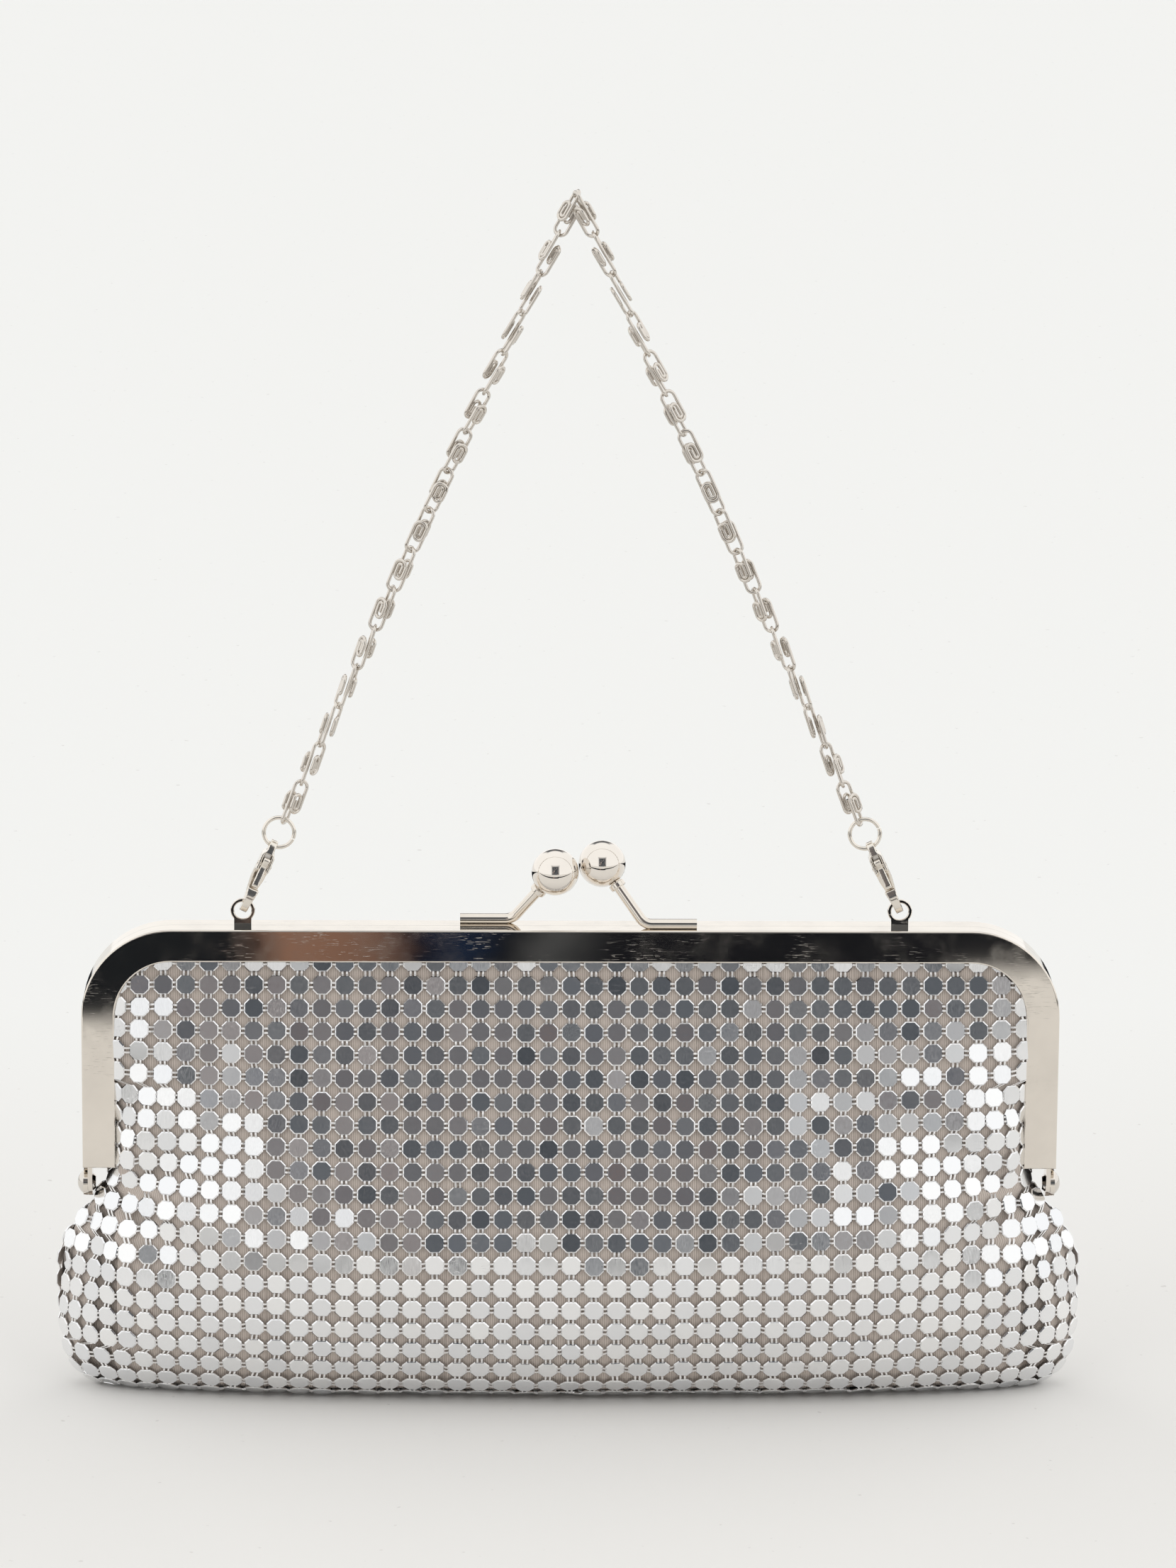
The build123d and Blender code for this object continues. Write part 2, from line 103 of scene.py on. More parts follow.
class Nodes:
    """A short way to write the nodes of a material or a world."""

    def __init__(self, owner):
        owner.use_nodes = True
        self.owner = owner
        self.tree = owner.node_tree
        self.shader = self.tree.nodes.get("Principled BSDF")

    def add(self, kind, **inputs):
        node = self.tree.nodes.new("ShaderNode" + kind)
        for key, value in inputs.items():
            if hasattr(node, key):
                setattr(node, key, value)
            else:
                self.set(node, key.replace("_", " "), value)
        return node

    def set(self, node, key, value):
        socket = node.inputs[int(key)] if key.isdigit() else node.inputs[key]
        if isinstance(value, bpy.types.NodeSocket):
            self.tree.links.new(value, socket)
        else:
            socket.default_value = value

    def math(self, operation, *values):
        node = self.add("Math", operation=operation)
        for index, value in enumerate(values):
            self.set(node, str(index), value)
        return node.outputs[0]

    def wave(self, along, pitch):
        """A sine between 0 and 1 of the given pitch."""
        sine = self.math("SINE", self.math("MULTIPLY", along, 2 * math.pi / pitch))
        return self.math("ADD", self.math("MULTIPLY", sine, 0.5), 0.5)

    def place(self, scale=(1, 1, 1), turn=(0, 0, 0)):
        where = self.add("TexCoord").outputs["Object"]
        node = self.add("Mapping", Vector=where, Rotation=turn, Scale=scale)
        return node.outputs[0]

    def noise(self, where, scale, detail=4, rough=0.5):
        node = self.add("TexNoise", Vector=where, Scale=scale, Detail=detail, Roughness=rough)
        return node.outputs[0]

    def ramp(self, value, *stops):
        """Maps a number to a tone along straight pieces: (number, tone) pairs."""
        node = self.add("ValToRGB")
        elements = node.color_ramp.elements
        while len(elements) < len(stops):
            elements.new(0.5)
        for element, (at, tone) in zip(elements, stops):
            element.position = at
            shade = tone if isinstance(tone, tuple) else (tone, tone, tone)
            element.color = (*shade, 1)
        self.tree.links.new(value, node.inputs[0])
        return node.outputs[0]

    def mix(self, factor, low, high):
        node = self.add("Mix", data_type="RGBA")
        for index, value in ((0, factor), (6, low), (7, high)):
            shade = (*value, 1) if isinstance(value, tuple) else value
            self.set(node, str(index), shade)
        return node.outputs[2]

    def bump(self, height, strength, distance):
        node = self.add("Bump", Height=height)
        node.inputs["Strength"].default_value = strength
        node.inputs["Distance"].default_value = distance
        return node.outputs[0]

    def wire(self, **inputs):
        for key, value in inputs.items():
            shade = (*value, 1) if isinstance(value, tuple) else value
            self.set(self.shader, key.replace("_", " "), shade)
        return self.owner


def material_nodes(name):
    return Nodes(bpy.data.materials.new(name))


def scratches(nodes, turns, fine, long):
    """Thin lines in a few directions, in patches: 1 on a scratch. Scales run across and along."""
    total = 0.0
    for turn in turns:
        lines = nodes.noise(nodes.place((long, fine, fine), turn), 1.0, 2)
        patch = nodes.noise(nodes.place((1, 1, 1), turn), 60.0, 2)
        thin = nodes.ramp(lines, (0.66, 0), (0.685, 1), (0.71, 0))
        here = nodes.ramp(patch, (0.54, 0), (0.70, 0.8))
        total = nodes.math("ADD", total, nodes.math("MULTIPLY", thin, here))
    return total


SCRATCH_TURNS = ((0.2, 0.5, 0.4), (0.9, 0.1, 1.3), (0.4, 1.2, 2.2))
PLATE_SCRATCH_TURNS = ((0.3, 0.9, 0.5), (1.1, 0.2, 1.9))


def plated(name, colour, rough, wear, haze):
    """Polished plate: hairline scratches, a faint haze of handling and slightly uneven tone."""
    nodes = material_nodes(name)
    marks = scratches(nodes, SCRATCH_TURNS, 6000.0, 250.0)
    cloud = nodes.noise(nodes.place(), 90.0, 5, 0.6)
    smear = nodes.math("MULTIPLY", nodes.ramp(cloud, (0.45, 0), (0.75, 1)), haze)
    worn = nodes.math("MULTIPLY", marks, wear)
    gloss = nodes.math("ADD", nodes.math("ADD", smear, worn), rough)
    dull = tuple(value * 0.93 for value in colour)
    tone = nodes.mix(nodes.ramp(cloud, (0.35, 0), (0.7, 1)), colour, dull)
    height = nodes.math("SUBTRACT", nodes.math("MULTIPLY", cloud, 0.35), marks)
    normal = nodes.bump(height, 0.08, 0.00002)
    return nodes.wire(Base_Color=tone, Metallic=1.0, Roughness=gloss, Normal=normal)


def plate_metal():
    """Bright aluminium, brushed up and down, each plate with its own tone and polish."""
    nodes = material_nodes("mesh_plate_aluminium")
    own = nodes.add("Attribute", attribute_name="own").outputs["Fac"]
    brush = nodes.noise(nodes.place((4200, 4200, 260)), 1.0, 3, 0.6)
    marks = scratches(nodes, PLATE_SCRATCH_TURNS, 2600.0, 260.0)
    gloss = nodes.math("MULTIPLY", nodes.ramp(brush, (0.3, 0), (0.7, 1)), 0.08)
    gloss = nodes.math("ADD", gloss, nodes.math("MULTIPLY", own, 0.07))
    gloss = nodes.math("ADD", gloss, nodes.math("MULTIPLY", marks, 0.10))
    gloss = nodes.math("ADD", gloss, 0.07)
    tone = nodes.mix(own, (0.83, 0.84, 0.86), (0.91, 0.91, 0.91))
    height = nodes.math("SUBTRACT", nodes.math("MULTIPLY", brush, 0.5), marks)
    normal = nodes.bump(height, 0.11, 0.00003)
    return nodes.wire(Base_Color=tone, Metallic=1.0, Roughness=gloss, Normal=normal)


def link_metal():
    """The dull rolled strip of the bars between plates."""
    nodes = material_nodes("mesh_link_aluminium")
    grain = nodes.noise(nodes.place(), 2500.0, 3, 0.6)
    gloss = nodes.math("ADD", nodes.math("MULTIPLY", grain, 0.16), 0.36)
    tone = nodes.mix(grain, (0.80, 0.79, 0.78), (0.94, 0.93, 0.92))
    return nodes.wire(
        Base_Color=tone, Metallic=1.0, Roughness=gloss, Normal=nodes.bump(grain, 0.2, 0.00004)
    )


RIB_PITCH = 0.56 * MM
WEFT_PITCH = RIB_PITCH * 0.45


def lining_cloth():
    """Beige cloth with fine upright ribs and a cross weave, and painted shade in the grooves between the ribs."""
    nodes = material_nodes("lining_cloth")
    along = nodes.add("Attribute", attribute_name="cloth").outputs["Vector"]
    split = nodes.add("SeparateXYZ", Vector=along)
    rib = nodes.wave(split.outputs[0], RIB_PITCH)
    weft = nodes.wave(split.outputs[1], WEFT_PITCH)
    fuzz = nodes.noise(nodes.place(), 1800.0, 4, 0.7)
    stain = nodes.noise(nodes.place(), 35.0, 3)
    # Dark in the grooves and light on the ridges, with the same wave as the bump: painted shade in the grooves.
    groove_shaded_cloth_tone = nodes.mix(rib, (0.36, 0.30, 0.26), (0.66, 0.58, 0.52))
    groove_shaded_cloth_tone = nodes.mix(nodes.math("MULTIPLY", fuzz, 0.5), groove_shaded_cloth_tone, (0.70, 0.63, 0.57))
    groove_shaded_cloth_tone = nodes.mix(nodes.math("MULTIPLY", stain, 0.25), groove_shaded_cloth_tone, (0.56, 0.47, 0.41))
    height = nodes.math("ADD", rib, nodes.math("MULTIPLY", weft, 0.25))
    height = nodes.math("ADD", height, nodes.math("MULTIPLY", fuzz, 0.3))
    nodes.shader.inputs["Sheen Weight"].default_value = 0.25
    return nodes.wire(
        Base_Color=groove_shaded_cloth_tone,
        Roughness=nodes.ramp(fuzz, (0, 0.75), (1, 0.95)),
        Normal=nodes.bump(height, 0.6, 0.00012),
    )


def packing_paper():
    """Twisted brown paper cord."""
    nodes = material_nodes("packing_paper")
    twist = nodes.noise(nodes.place((900, 900, 900), (0.6, 0.6, 0.6)), 1.0, 3)
    tone = nodes.mix(twist, (0.42, 0.35, 0.25), (0.66, 0.58, 0.46))
    return nodes.wire(
        Base_Color=tone,
        Roughness=nodes.ramp(twist, (0, 0.8), (1, 0.95)),
        Normal=nodes.bump(twist, 0.5, 0.0001),
    )


NICKEL = (0.80, 0.745, 0.675)
materials = {
    "nickel": plated("nickel", NICKEL, 0.045, 0.30, 0.07),
    "polished_nickel": plated("polished_nickel", (0.84, 0.79, 0.73), 0.03, 0.07, 0.03),
    "rivet_steel": plated("rivet_steel", (0.74, 0.70, 0.65), 0.10, 0.16, 0.12),
    "clasp_metal": plated("clasp_metal", (0.80, 0.75, 0.68), 0.12, 0.12, 0.10),
    "spring_steel": plated("spring_steel", (0.62, 0.62, 0.63), 0.22, 0.10, 0.15),
    "chain_wire": plated("chain_wire", (0.70, 0.655, 0.60), 0.10, 0.10, 0.08),
    "mesh_plates": plate_metal(),
    "mesh_links": link_metal(),
    "lining_cloth": lining_cloth(),
    "packing_paper": packing_paper(),
}

for part in frame["record"]["subparts"]:
    node = frame["nodes"][part["node"]]
    node.data.materials.clear()
    node.data.materials.append(materials[part["material_slot"]])

# --- the pouch's surface ----------------------------------------------------------------------

# Lengths here are in mm. Columns are counted from the middle to each side.
PITCH = 5.55  # from plate to plate
COLUMNS = 26  # round to the side seam
SHEET_COLUMNS = 21  # the columns that reach up to the frame
EVEN_COLUMNS = 17.5  # within these the plates keep their pitch
FITTED_PITCH = PITCH * 0.97  # outside them, roughly: each row is fitted to the side seam
HINGE_Z = frame["joints"][0]["pos_m"][2] / MM
FRAME_LOW, FRAME_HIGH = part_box("front_frame")
FRAME_HALF = FRAME_HIGH[0] / MM
FRAME_TOP = FRAME_HIGH[2] / MM
BAND = 8.1  # width of the frame's front face
INNER_CORNER = 13.9  # radius of the opening's upper corners
FIRST_ROW = FRAME_TOP - BAND - 0.2  # height of the last row but one, which the frame half covers

# The pouch at a few heights: height, half width, half depth and the half depth at its side.
LEVELS = (
    (0.55, 108.0, 0.0, 0.0),
    (0.55, 112.5, 5.5, 0.0),
    (0.9, 117.0, 11.2, 0.0),
    (3.4, 121.6, 16.8, 0.0),
    (8.5, 124.4, 20.6, 0.0),
    (15.5, 125.8, 23.6, 0.0),
    (24.5, 125.9, 25.8, 0.0),
    (34.0, 125.0, 26.8, 0.0),
    (41.0, 122.8, 26.4, 0.0),
    (47.5, 118.2, 25.0, 0.6),
    (52.5, 114.6, 23.4, 2.2),
    (58.5, 113.6, 21.4, 3.4),
    (67.5, 114.0, 18.0, 3.8),
    (78.0, 114.0, 14.4, 3.9),
    (89.5, 114.0, 10.6, 3.9),
    (99.5, 114.0, 7.0, 3.9),
    (106.7, 114.0, 4.6, 3.9),
    (FIRST_ROW, 114.0, 4.1, 3.9),
    (FRAME_TOP - 3, 114.0, 4.0, 3.9),
)
LOWEST = 0.55  # height of the mesh's surface above the table
ROUNDNESS = 2.7  # of a level's outline: 2 is an ellipse, more is squarer
PROFILE_STEPS = 12  # between two levels
OUTLINE_POINTS = 160
OUTLINE_CROWDING = 2.5  # how much closer an outline's points stand towards the side seam
NEAR = 0.8  # how far to each side a point looks for its facing
SEAM_HALF = 0.1  # a plate row's least distance from the middle plane at the side seam
BASE_FADE = 12.0  # below this height folds fade out, and lift the mesh rather than swell it
BASE_LIFT = 0.9


def smooth(points, steps):
    """A Catmull-Rom curve through the points."""
    points = np.array(points, float)
    padded = np.vstack([2 * points[0] - points[1], points, 2 * points[-1] - points[-2]])
    out = []
    for a, b, c, d in zip(padded[:-3], padded[1:-2], padded[2:-1], padded[3:]):
        for t in np.linspace(0, 1, steps, endpoint=False):
            bend = (2 * a - 5 * b + 4 * c - d) * t * t + (3 * b - a - 3 * c + d) * t**3
            out.append(0.5 * (2 * b + (c - a) * t + bend))
    out.append(points[-1])
    return np.array(out)


def lengths(points):
    """The distance along a line of points, up to each of them."""
    return np.concatenate([[0], np.cumsum(np.linalg.norm(np.diff(points, axis=0), axis=1))])


profile = smooth(LEVELS, PROFILE_STEPS)
climb = lengths(profile[:, [0, 2]])
first_row_at = np.interp(FIRST_ROW, profile[:, 0], climb)
ROWS = round(first_row_at / PITCH)
ROW_PITCH = first_row_at / (ROWS - 0.5)


def level(at):
    """The height, half width, half depth and side depth at a distance up from the base's middle."""
    return [np.interp(at, climb, profile[:, k]) for k in range(4)]


def outline(at):
    """Half of a level's outline from its middle to its side, as points and distances."""
    _, wide, deep, edge = level(at)
    share = 1 - (1 - np.linspace(0, 1, OUTLINE_POINTS)) ** OUTLINE_CROWDING
    depth = edge + (deep - edge) * np.sqrt(np.clip(1 - share**ROUNDNESS, 0, 1))
    points = np.stack([share * wide, depth], axis=1)
    return points, lengths(points)


FRONT_WAVE = 0.8  # phases of the folds on the two faces
BACK_WAVE = 2.9
GATHER_X = FRAME_HALF - 6  # where the gathers run together, at the hinges' height
GATHER = 1.3  # height of the gathers
GATHER_REACH = 15  # how far from there they are highest
GATHER_SPREAD = 160
GATHER_COUNT = 5.5
BROAD_WAVE = 0.35
SLANT_WAVE = 0.25
FRAME_FADE = 25  # over this distance below the frame, waves and gathers fade out


def folds(x, z, wave):
    """How far the mesh stands out of its even shape: gathers by the hinges, and slow waves."""
    reach = np.hypot(np.abs(x) - GATHER_X, (z - HINGE_Z) * 0.9)
    angle = np.arctan2(HINGE_Z - z, GATHER_X - np.abs(x))
    near = np.exp(-((reach - GATHER_REACH) ** 2) / GATHER_SPREAD)
    gather = GATHER * near * np.sin(GATHER_COUNT * angle + wave)
    slow = BROAD_WAVE * np.sin(x / 17 + 2 * wave) * np.sin(z / 15 + wave)
    slow += SLANT_WAVE * np.sin(x / 9.3 - z / 12 + 3 * wave)
    fade = np.clip((FRAME_TOP - BAND - z) / FRAME_FADE, 0, 1) * np.clip(z / BASE_FADE, 0, 1)
    return (gather + slow) * fade


def surface(column, row, front, inset=0.0):
    """A point of the pouch, and whether it lies past the side seam.

    Columns count from the middle and rows from the base, and both may be fractions.
    """
    at = (row + 0.5) * ROW_PITCH
    points, along = outline(at)
    height = level(at)[0]
    reach = along[-1]
    even = EVEN_COLUMNS * PITCH
    fitted = round((reach - even) / FITTED_PITCH)
    step = (reach - even) / max(fitted, 1)
    out_by = abs(column) - EVEN_COLUMNS
    far = abs(column) * PITCH if out_by < 0 else min(even + out_by * step, reach)
    x = math.copysign(np.interp(far, along, points[:, 0]), column)
    y = np.interp(far, along, points[:, 1])
    past = out_by > fitted
    out = folds(x, height, FRONT_WAVE if front else BACK_WAVE) - inset
    run = [np.interp(far + ahead, along, points[:, 0]) for ahead in (-NEAR, NEAR)]
    drop = [np.interp(far + ahead, along, points[:, 1]) for ahead in (-NEAR, NEAR)]
    facing = np.array([drop[0] - drop[1], run[1] - run[0]])
    facing /= np.linalg.norm(facing)
    x += math.copysign(1, column) * out * facing[0]
    y = max(y + out * facing[1], SEAM_HALF * (inset == 0))
    rise = out * np.clip((BASE_FADE - height) / BASE_FADE, 0, 1) * BASE_LIFT
    return np.array([x, (-y if front else y), max(height - rise, inset + LOWEST)]), past


def grid(columns, rows, front, inset=0.0):
    """Points, and whether each lies past the side seam, for every column and row."""
    points = np.zeros((len(columns), len(rows), 3))
    past = np.zeros((len(columns), len(rows)), bool)
    for i, column in enumerate(columns):
        for j, row in enumerate(rows):
            points[i, j], past[i, j] = surface(column, row, front, inset)
    return points, past


def directions(points, front):
    """The unit vectors across, up and out at each grid point."""
    across = np.gradient(points, axis=0)
    up = np.gradient(points, axis=1)
    across /= np.maximum(np.linalg.norm(across, axis=2, keepdims=True), 1e-9)
    out = np.cross(across, up) * (1 if front else -1)
    out /= np.maximum(np.linalg.norm(out, axis=2, keepdims=True), 1e-9)
    up = np.cross(out, across) * (1 if front else -1)
    return across, up, out


# --- plates and their connectors --------------------------------------------------------------

FLAT_HALF = 2.14  # of a plate's flat, from its middle to a side
FLAT_CUT = 1.12  # how much of each corner is cut off
RIM_HALF = 2.38  # the same two of the rim
RIM_CUT = 1.20
RIM_DROP = 0.22  # of the bevelled rim, below the flat
SKIRT_DROP = 0.48
SKIRT_DRAW = 0.05  # how far the skirt draws in under the rim
TILT = math.radians(2.2)  # how far plates lean, at random
LOOSE_TILT = 2.2  # times more by the hinges
SHIFT = 0.05  # how far they stand out of place, at random
TUCKED = 2.2  # plates further under the frame than this are left out
SIDE_TOP = HINGE_Z - 1  # up to here plates go round to the side seam
LOOSE_ACROSS = 14  # how far from a hinge plates are loose, across and up
LOOSE_UP = 22
UPRIGHT_LEGS = 5  # the frame's opening is taken to start this far above the hinges


def octagon(half, cut, height):
    """The corners of a square with its corners cut, at a height."""
    side = half - cut
    corners = ((side, half), (half, side), (half, -side), (side, -half))
    ring = list(corners) + [(-x, -y) for x, y in corners]
    return [(x, y, height) for x, y in ring]


def plate_shape():
    """A pressed plate: an octagonal flat, a bevelled rim and a skirt."""
    points = octagon(FLAT_HALF, FLAT_CUT, 0.0)
    points += octagon(RIM_HALF, RIM_CUT, -RIM_DROP)
    points += octagon(RIM_HALF - SKIRT_DRAW, RIM_CUT, -SKIRT_DROP)
    faces = [tuple(range(7, -1, -1)), tuple(range(16, 24))]
    for k in range(8):
        after = (k + 1) % 8
        for low in (0, 8):
            faces.append((low + k, low + after, low + 8 + after, low + 8 + k))
    return np.array(points), faces


PLATE_POINTS, PLATE_FACES = plate_shape()


def under_frame(x, z):
    """How far a point lies outside the frame's opening, from the front; negative inside it."""
    half = FRAME_HALF - BAND
    top = FRAME_TOP - BAND
    if z < HINGE_Z + UPRIGHT_LEGS:
        return -1.0
    dx = abs(x) - (half - INNER_CORNER)
    dz = z - (top - INNER_CORNER)
    if dx > 0 and dz > 0:
        return math.hypot(dx, dz) - INNER_CORNER
    return max(dx, dz) - INNER_CORNER


class Builder:
    """Gathers points and faces for one mesh."""

    def __init__(self):
        self.points = []
        self.faces = []
        self.tones = []
        self.count = 0

    def put(self, points, faces, tone=0.0):
        self.points.append(points)
        self.faces += [tuple(i + self.count for i in face) for face in faces]
        self.tones += [tone] * len(faces)
        self.count += len(points)

    def build(self, name, material, slot, cloth=None):
        mesh = bpy.data.meshes.new(name)
        points = np.vstack(self.points) * MM
        mesh.from_pydata(points.tolist(), [], self.faces)
        if cloth is None:
            own = mesh.attributes.new("own", "FLOAT", "FACE")
            own.data.foreach_set("value", self.tones)
        else:
            along = mesh.attributes.new("cloth", "FLOAT_VECTOR", "POINT")
            along.data.foreach_set("vector", (np.vstack(cloth) * MM).ravel())
        mesh.materials.append(material)
        piece = bpy.data.objects.new(name, mesh)
        bpy.context.scene.collection.objects.link(piece)
        return piece


def turned(across, up, out, tilt_x, tilt_y):
    """The three directions after leaning a plate by two small angles."""
    lean = out + across * tilt_x + up * tilt_y
    lean /= np.linalg.norm(lean)
    side = across - lean * (across @ lean)
    side /= np.linalg.norm(side)
    rise = np.cross(lean, side)
    return side, rise if rise @ up > 0 else -rise, lean


PRONG_APART = 0.54  # from the middle between two plates to each of the two bars
PRONG_HALF = 0.23  # half a bar's width
PRONG_THICK = 0.26
PRONG_HEIGHT = -0.08  # of a bar's ends, against the flats
PRONG_ARCH = 0.10
PRONG_UNDER = 0.12  # how far a bar reaches into the rims


def prong(start, end, side, out):
    """A thin bar from one plate's rim to the next, arched a little outwards."""
    middle = (start + end) / 2 + out * PRONG_ARCH
    points = []
    for place in (start, middle, end):
        for across, high in ((-1, 0), (1, 0), (1, -1), (-1, -1)):
            points.append(place + side * across * PRONG_HALF + out * high * PRONG_THICK)
    faces = []
    for low in (0, 4):
        for k in range(4):
            after = (k + 1) % 4
            faces.append((low + k, low + after, low + 4 + after, low + 4 + k))
    return np.array(points), faces


# Strips of a sheet, from the middle to the legs: the last column of each.
STRIPS = [5, 9, 12, 14, 16, 17, 18, 19, SHEET_COLUMNS]


def strip_of(column):
    return next(k for k, last in enumerate(STRIPS) if abs(column) <= last)


def lay_plates(front):
    """The plates and prongs of one sheet, by strip; the side columns come under the key None."""
    columns = np.arange(-COLUMNS, COLUMNS + 1)
    rows = np.arange(ROWS + 1)
    points, past = grid(columns, rows, front)
    across, up, out = directions(points, front)
    plates, prongs = {}, {}
    shown = {}
    for i, column in enumerate(columns):
        for j in rows:
            place = points[i, j]
            hidden = under_frame(place[0], place[2]) > TUCKED
            in_sheet = abs(column) <= SHEET_COLUMNS
            beyond = past[i, j] or (not in_sheet and place[2] > SIDE_TOP)
            if hidden or beyond:
                continue
            key = strip_of(column) if in_sheet else None
            by_hinge = abs(abs(place[0]) - FRAME_HALF) < LOOSE_ACROSS
            by_hinge = by_hinge and abs(place[2] - HINGE_Z) < LOOSE_UP
            lean = rng.normal(0, TILT * (LOOSE_TILT if by_hinge else 1.0), 2)
            shift = rng.normal(0, SHIFT, 3)
            tone = float(rng.random())
            side, rise, face = turned(across[i, j], up[i, j], out[i, j], *lean)
            placed = place + shift + PLATE_POINTS @ np.stack([side, rise, face])
            faces = PLATE_FACES if front else [f[::-1] for f in PLATE_FACES]
            plates.setdefault(key, Builder()).put(placed, faces, tone)
            shown[i, j] = (place + shift, (side, rise), face, key)
    reach = RIM_HALF - PRONG_UNDER
    for (i, j), (place, ways, face, key) in shown.items():
        for run, neighbour in enumerate(((i + 1, j), (i, j + 1))):
            if neighbour not in shown:
                continue
            other_place, other_ways, other_face, _ = shown[neighbour]
            apart = ways[1 - run]
            other_apart = other_ways[1 - run]
            for offset in (-PRONG_APART, PRONG_APART):
                start = place + ways[run] * reach
                start = start + apart * offset + face * PRONG_HEIGHT
                end = other_place - other_ways[run] * reach
                end = end + other_apart * offset + other_face * PRONG_HEIGHT
                tone = float(rng.random())
                shape = prong(start, end, apart, face)
                prongs.setdefault(key, Builder()).put(*shape, tone)
    return plates, prongs


LINING_INSET = 0.95  # behind the mesh's surface
LINING_STEP = 0.5  # of a column or row, from point to point
LINING_LAP = 0.14  # every other strip lies this much deeper
LINING_TUCK = 4.5  # how far the cloth reaches into the frame
LINING_SIDE_TOP = HINGE_Z + 0.5  # up to here it goes round to the side seam


def lay_lining(front):
    """The lining behind one sheet, by strip, as a builder and its cloth coordinates.

    Each strip laps one column over the one nearer the middle. The side cloth comes under None.
    """
    rows = np.arange(-0.5, ROWS + 0.8, LINING_STEP)
    strips = {}
    spans = []
    low = 0.0
    for k, last in enumerate(STRIPS):
        spans.append((k, max(low - 1, 0), last + (0.5 if last < SHEET_COLUMNS else 0.9)))
        low = last + 0.5
    spans.append((None, SHEET_COLUMNS - 0.5, COLUMNS + 0.5))
    for key, start, end in spans:
        columns = np.arange(start, end + LINING_STEP / 2, LINING_STEP)
        sides = (1, -1) if start > 0 else (0,)
        for sign in sides:
            wanted = columns * sign if sign else np.concatenate([-columns[:0:-1], columns])
            lapped = 0.0 if key is None else LINING_LAP * (key % 2)
            points, _ = grid(np.sort(wanted), rows, front, LINING_INSET + lapped)
            kept = len(rows)
            if key is None:
                tall = points[:, :, 2].max(axis=0)
                kept = int((tall < LINING_SIDE_TOP).sum())
            faces = []
            for i in range(len(wanted) - 1):
                for j in range(kept - 1):
                    if under_frame(points[i, j, 0], points[i, j, 2]) > LINING_TUCK:
                        continue
                    a = i * kept + j
                    quad = (a, a + kept, a + kept + 1, a + 1)
                    faces.append(quad if front else quad[::-1])
            flat = points[:, :kept].reshape(-1, 3)
            u, v = np.meshgrid(np.sort(wanted) * PITCH, rows[:kept] * ROW_PITCH, indexing="ij")
            cloth = np.stack([u.ravel(), v.ravel(), np.zeros(u.size)], axis=1)
            builder, along = strips.setdefault(key, (Builder(), []))
            builder.put(flat, faces)
            along.append(cloth)
    return strips


def attach(piece, front, key):
    """Back strips and side pieces ride on the root; front strips only have their placement baked into their
    points.
    """
    if not front or key is None:
        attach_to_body(piece, "root")
        return
    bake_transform(piece)


def piece_name(front, kind, key):
    face = "front" if front else "back"
    strip = "side" if key is None else f"strip_{key + 1}"
    return f"{face}_{kind}_{strip}"


def shade_smooth(mesh):
    for polygon in mesh.polygons:
        polygon.use_smooth = True


def make_pouch():
    """The plates, prongs and lining of both sheets."""
    for front in (True, False):
        plates, prongs = lay_plates(front)
        for kind, layers in (("plates", plates), ("links", prongs)):
            for key, builder in layers.items():
                name = piece_name(front, kind, key)
                piece = builder.build(name, materials["mesh_" + kind], "mesh_plates")
                attach(piece, front, key)
                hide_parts("mesh_bag")
        for key, (builder, along) in lay_lining(front).items():
            name = piece_name(front, "lining", key)
            piece = builder.build(name, materials["lining_cloth"], "lining_cloth", along)
            shade_smooth(piece.data)
            attach(piece, front, key)
            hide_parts("lining")


make_pouch()

# --- cast clasps ------------------------------------------------------------------------------

CAST_VOXEL = 0.16 * MM
CAST_PASSES = 7
CAST_FACTOR = 0.6


def cast(name, carrier):
    """A softly rounded casting of a part whose CAD solid has sharp edges."""
    node = frame["nodes"][name]
    mesh = node.data.copy()
    mesh.transform(node.matrix_world)
    draft = bpy.data.objects.new(name + "_draft", mesh)
    bpy.context.scene.collection.objects.link(draft)
    remesh = draft.modifiers.new("remesh", "REMESH")
    remesh.mode = "VOXEL"
    remesh.voxel_size = CAST_VOXEL
    soften = draft.modifiers.new("soften", "SMOOTH")
    soften.factor = CAST_FACTOR
    soften.iterations = CAST_PASSES
    seen = draft.evaluated_get(bpy.context.evaluated_depsgraph_get())
    shape = bpy.data.meshes.new_from_object(seen)
    bpy.data.objects.remove(draft)
    piece = bpy.data.objects.new(name + "_cast", shape)
    bpy.context.scene.collection.objects.link(piece)
    shape.materials.clear()
    shape.materials.append(materials["clasp_metal"])
    shade_smooth(shape)
    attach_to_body(piece, carrier)
    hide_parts(name)


for hand in ("left", "right"):
    cast(hand + "_clasp_body", "strap_clasps")
    cast(hand + "_clasp_gate", hand + "_gate")

# --- floor and light --------------------------------------------------------------------------

# Lengths here are in metres.
FLOOR_HALF = 4.6
PAINTED_ROOM_START = 0.36  # from here to the strip's end, the table glows with dark room tones that only glossy rays see: a painted reflection in the polished metal
PAINTED_ROOM_END = 0.56
PAINTED_ROOM_EDGE = 0.02
PAINTED_ROOM_HALF = 0.30  # half the width over which the painted reflection's room tones are spread
PAINTED_ROOM_NEARER_RIGHT = 0.065  # how much nearer the painted reflection starts on the right
SWEEP = 0.23  # where the table's paper gives way to the backdrop
SWEEP_SOFT = 0.15  # half the width of that change
PAPER = (0.835, 0.822, 0.800)
BACKDROP = (0.88, 0.88, 0.865)
SPECK = (0.45, 0.42, 0.40)
SOFTBOX = (1.12, 1.12, 1.11)
PALE = (0.875, 0.875, 0.865)  # what the camera sees behind everything


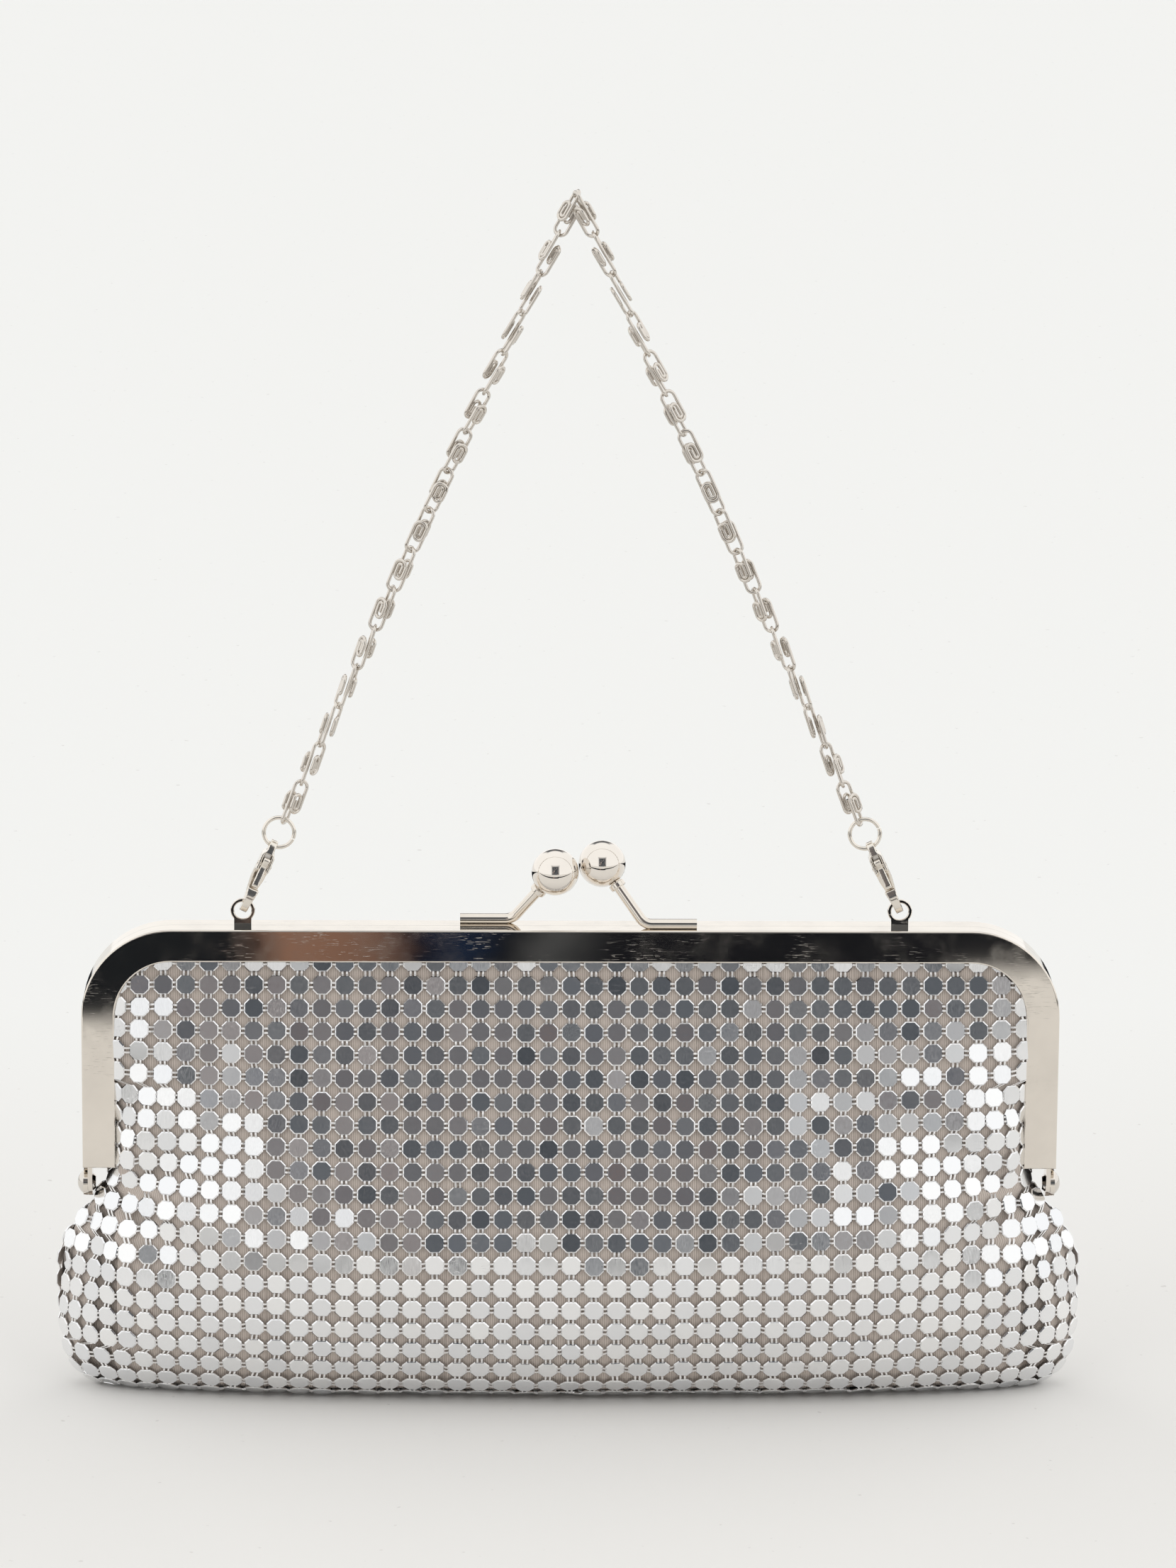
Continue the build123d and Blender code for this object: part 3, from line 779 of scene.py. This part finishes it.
def make_floor():
    """A plain pale table; away from the bag, a strip of it glows with dark room tones that only glossy rays see, a
    painted reflection in the polished metal.
    """
    mesh = bpy.data.meshes.new("floor")
    corners = [(x * FLOOR_HALF, y * FLOOR_HALF, 0) for x, y in ((-1, -1), (1, -1), (1, 1), (-1, 1))]
    mesh.from_pydata(corners, [], [(0, 1, 2, 3)])
    floor = bpy.data.objects.new("floor", mesh)
    bpy.context.scene.collection.objects.link(floor)
    nodes = material_nodes("table_white_and_painted_reflection")
    mesh.materials.append(nodes.owner)
    place = nodes.add("SeparateXYZ", Vector=nodes.add("TexCoord").outputs["Object"])
    sweep = nodes.ramp(place.outputs[1], (SWEEP - SWEEP_SOFT, 0), (SWEEP + SWEEP_SOFT, 1))
    paper = nodes.mix(sweep, PAPER, BACKDROP)
    speck = nodes.ramp(nodes.noise(nodes.place(), 320.0, 1), (0.76, 0), (0.80, 0.35))
    nodes.wire(Base_Color=nodes.mix(speck, paper, SPECK), Roughness=0.7)
    # Painted reflection: over a strip of the table, an emission of dark room tones that only glossy rays see.
    away = nodes.math("ABSOLUTE", place.outputs[1])
    right = nodes.ramp(place.outputs[0], (0.10, 0), (0.13, PAINTED_ROOM_NEARER_RIGHT))
    away = nodes.math("SUBTRACT", away, right)
    past = nodes.ramp(
        away,
        (PAINTED_ROOM_START, 0),
        (PAINTED_ROOM_START + PAINTED_ROOM_EDGE, 1),
        (PAINTED_ROOM_END, 1),
        (PAINTED_ROOM_END + PAINTED_ROOM_EDGE, 0),
    )
    mirrored = nodes.add("LightPath").outputs["Is Glossy Ray"]
    factor = nodes.math("MULTIPLY", past, mirrored)
    blur = nodes.noise(nodes.place(), 30.0, 2)
    along = nodes.math("ADD", place.outputs[0], nodes.math("MULTIPLY", blur, 0.03))
    along = nodes.math("ADD", nodes.math("MULTIPLY", along, 1 / (2 * PAINTED_ROOM_HALF)), 0.5)
    # The painted reflection's tones across the strip: dark, with a copper band and a blue band.
    room = nodes.add("Emission")
    shade = nodes.ramp(
        along,
        (0.375, (0.012, 0.014, 0.017)),
        (0.392, (0.30, 0.17, 0.12)),
        (0.437, (0.20, 0.115, 0.085)),
        (0.460, (0.008, 0.010, 0.016)),
        (0.482, (0.010, 0.022, 0.055)),
        (0.505, (0.008, 0.009, 0.012)),
        (0.53, (0.075, 0.080, 0.085)),
        (0.565, (0.010, 0.011, 0.014)),
    )
    nodes.set(room, "Color", shade)
    mixed = nodes.add("MixShader")
    nodes.set(mixed, "0", factor)
    nodes.tree.links.new(nodes.shader.outputs[0], mixed.inputs[1])
    nodes.tree.links.new(room.outputs[0], mixed.inputs[2])
    output = nodes.tree.nodes["Material Output"]
    nodes.tree.links.new(mixed.outputs[0], output.inputs["Surface"])


def make_world():
    """White softboxes above and at both sides, and a dim room before and behind the bag."""
    world = bpy.data.worlds.new("studio")
    bpy.context.scene.world = world
    nodes = Nodes(world)
    background = nodes.tree.nodes["Background"]
    where = nodes.add("TexCoord").outputs["Generated"]
    split = nodes.add("SeparateXYZ", Vector=where)
    aside = nodes.math("ABSOLUTE", split.outputs[0])
    sides = nodes.ramp(aside, (0.24, 0), (0.36, 1))
    above = nodes.ramp(split.outputs[2], (0.58, 0), (0.72, 1))
    behind = nodes.ramp(split.outputs[1], (0.0, 0), (0.2, 1))
    low = nodes.ramp(split.outputs[2], (0.26, 1), (0.32, 0))
    bright = nodes.math("MAXIMUM", sides, above)
    bright = nodes.math("MAXIMUM", bright, nodes.math("MULTIPLY", behind, low))
    patch = nodes.noise(where, 9.0, 2)
    room = nodes.ramp(
        patch,
        (0.34, (0.060, 0.066, 0.074)),
        (0.46, (0.105, 0.115, 0.125)),
        (0.54, (0.17, 0.18, 0.20)),
        (0.60, (0.15, 0.12, 0.115)),
        (0.66, (0.26, 0.20, 0.18)),
        (0.74, (0.80, 0.80, 0.78)),
    )
    light = nodes.mix(bright, room, SOFTBOX)
    seen = nodes.add("LightPath").outputs["Is Camera Ray"]
    colour = nodes.mix(seen, light, PALE)
    nodes.set(background, "Color", colour)
    background.inputs["Strength"].default_value = 1.0


make_floor()
make_world()
bpy.context.scene.view_settings.view_transform = "Standard"
